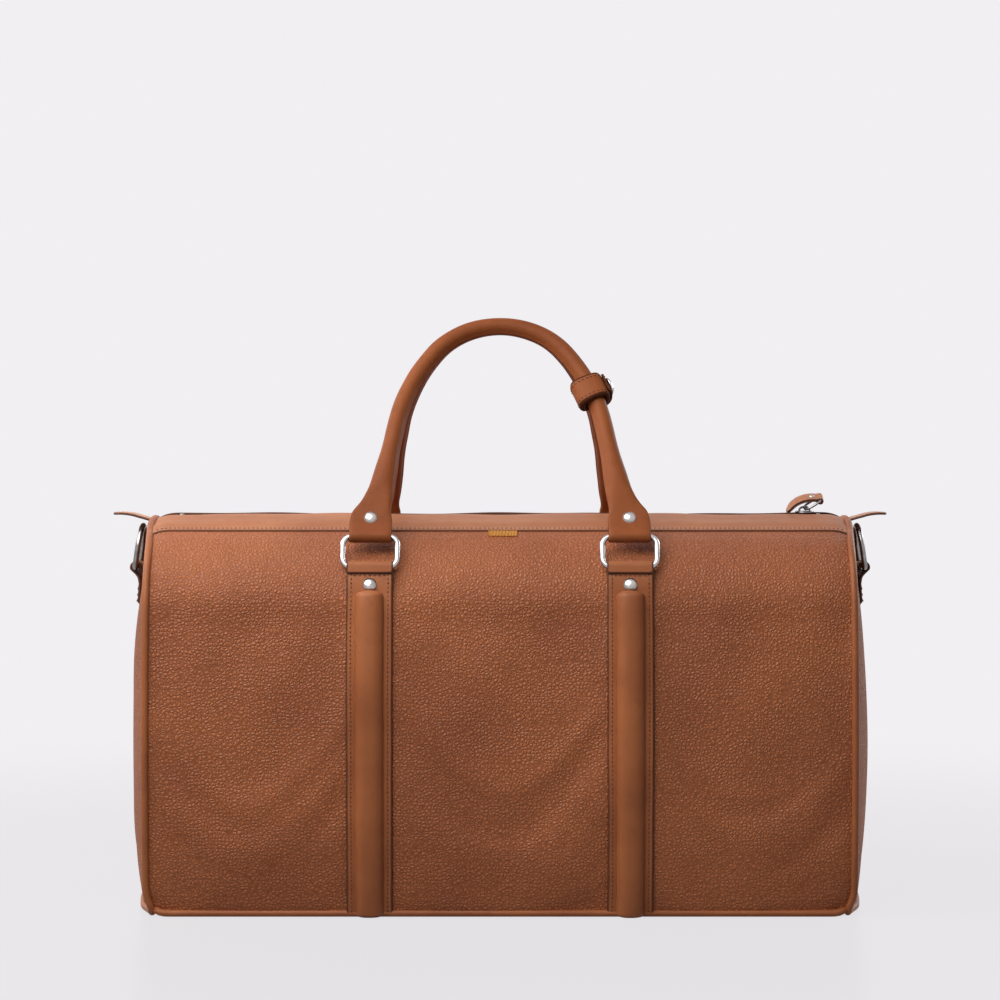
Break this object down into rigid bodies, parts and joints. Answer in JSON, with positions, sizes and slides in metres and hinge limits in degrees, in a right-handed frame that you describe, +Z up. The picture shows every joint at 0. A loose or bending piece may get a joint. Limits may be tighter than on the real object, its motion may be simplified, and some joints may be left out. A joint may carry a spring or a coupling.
{
  "type": "weekender bag",
  "caption": "Leather weekender bag with two rolled handles on metal rings, a zipped top, end D-rings and strapped front and rear panels.",
  "frame": {"origin": "on the floor, under the middle of the bag", "axes": "+X along the bag to its right end, -Y is the front, +Z up"},
  "size_m": [0.5392, 0.263, 0.4081],
  "materials": {
    "pebbled_leather": "pebbled, soft sheen",
    "smooth_leather": "smooth, soft sheen",
    "dark_metal": "polished dark nickel",
    "rope": "twisted cotton",
    "foam": "pressed felt",
    "zip_cloth": "woven tape",
    "lining_cloth": "plain cotton",
    "board": "stiff fibre board"
  },
  "bodies": {
    "bag": {"front_panel": "pebbled_leather", "rear_panel": "pebbled_leather", "left_end_panel": "pebbled_leather", "right_end_panel": "pebbled_leather", "front_zip_band": "smooth_leather", "rear_zip_band": "smooth_leather", "left_piping": "smooth_leather", "right_piping": "smooth_leather", "base_piping": "smooth_leather", "base_panel": "pebbled_leather", "base_board": "board", "lining": "lining_cloth", "front_zip_tape": "zip_cloth", "front_zip_teeth": "dark_metal", "rear_zip_tape": "zip_cloth", "rear_zip_teeth": "dark_metal", "zip_stops": "dark_metal", "strap_rivets": "dark_metal", "strap_rivet_burrs": "dark_metal", "left_end_tab": "smooth_leather", "right_end_tab": "smooth_leather", "left_ring_loop": "smooth_leather", "right_ring_loop": "smooth_leather", "woven_tab": "zip_cloth", "front_left_strap": "smooth_leather", "front_left_strap_core": "foam", "front_right_strap": "smooth_leather", "front_right_strap_core": "foam", "rear_left_strap": "smooth_leather", "rear_left_strap_core": "foam", "rear_right_strap": "smooth_leather", "rear_right_strap_core": "foam"},
    "front_rings": {"front_left_ring": "dark_metal", "front_right_ring": "dark_metal"},
    "front_handle": {"front_handle": "smooth_leather", "front_handle_core": "rope", "front_handle_rivets": "dark_metal", "keeper": "smooth_leather", "keeper_stud": "dark_metal"},
    "rear_rings": {"rear_left_ring": "dark_metal", "rear_right_ring": "dark_metal"},
    "rear_handle": {"rear_handle": "smooth_leather", "rear_handle_core": "rope", "rear_handle_rivets": "dark_metal"},
    "keeper_flap": {"keeper_flap": "smooth_leather", "keeper_snap_cap": "dark_metal"},
    "zip_slider": {"zip_slider": "dark_metal"},
    "zip_puller": {"zip_puller": "dark_metal"},
    "pull_tab": {"pull_tab": "smooth_leather"},
    "left_d_ring": {"left_d_ring": "dark_metal"},
    "right_d_ring": {"right_d_ring": "dark_metal"}
  },
  "joints": [
    {"name": "front_rings_hinge", "type": "hinge", "parent": "bag", "child": "front_rings", "pos_m": [0, -0.11122, 0.2365], "axis": [1, 0, 0], "range_deg": [0, 110]},
    {"name": "front_handle_hinge", "type": "hinge", "parent": "front_rings", "child": "front_handle", "pos_m": [0, -0.10184, 0.25662], "axis": [1, 0, 0], "range_deg": [0, 98]},
    {"name": "rear_rings_hinge", "type": "hinge", "parent": "bag", "child": "rear_rings", "pos_m": [0, 0.11122, 0.2365], "axis": [-1, 0, 0], "range_deg": [0, 110]},
    {"name": "rear_handle_hinge", "type": "hinge", "parent": "rear_rings", "child": "rear_handle", "pos_m": [0, 0.10184, 0.25662], "axis": [-1, 0, 0], "range_deg": [0, 98]},
    {"name": "keeper_flap_hinge", "type": "hinge", "parent": "front_handle", "child": "keeper_flap", "pos_m": [0.06079, -0.0298, 0.35021], "axis": [-0.3746, 0.5062, 0.7768], "range_deg": [0, 110]},
    {"name": "zip_slide", "type": "slide", "parent": "bag", "child": "zip_slider", "axis": [1, 0, 0], "range_m": [-0.425, 0]},
    {"name": "puller_hinge", "type": "hinge", "parent": "zip_slider", "child": "zip_puller", "pos_m": [0.216, 0, 0.2732], "axis": [0, 1, 0], "range_deg": [0, 26]},
    {"name": "pull_hinge", "type": "hinge", "parent": "zip_puller", "child": "pull_tab", "pos_m": [0.22703, 0, 0.28009], "axis": [0, 1, 0], "range_deg": [0, 150]},
    {"name": "left_d_ring_hinge", "type": "hinge", "parent": "bag", "child": "left_d_ring", "pos_m": [-0.2572, 0, 0.232], "axis": [0, -1, 0], "range_deg": [0, 160]},
    {"name": "right_d_ring_hinge", "type": "hinge", "parent": "bag", "child": "right_d_ring", "pos_m": [0.2572, 0, 0.232], "axis": [0, 1, 0], "range_deg": [0, 160]}
  ]
}
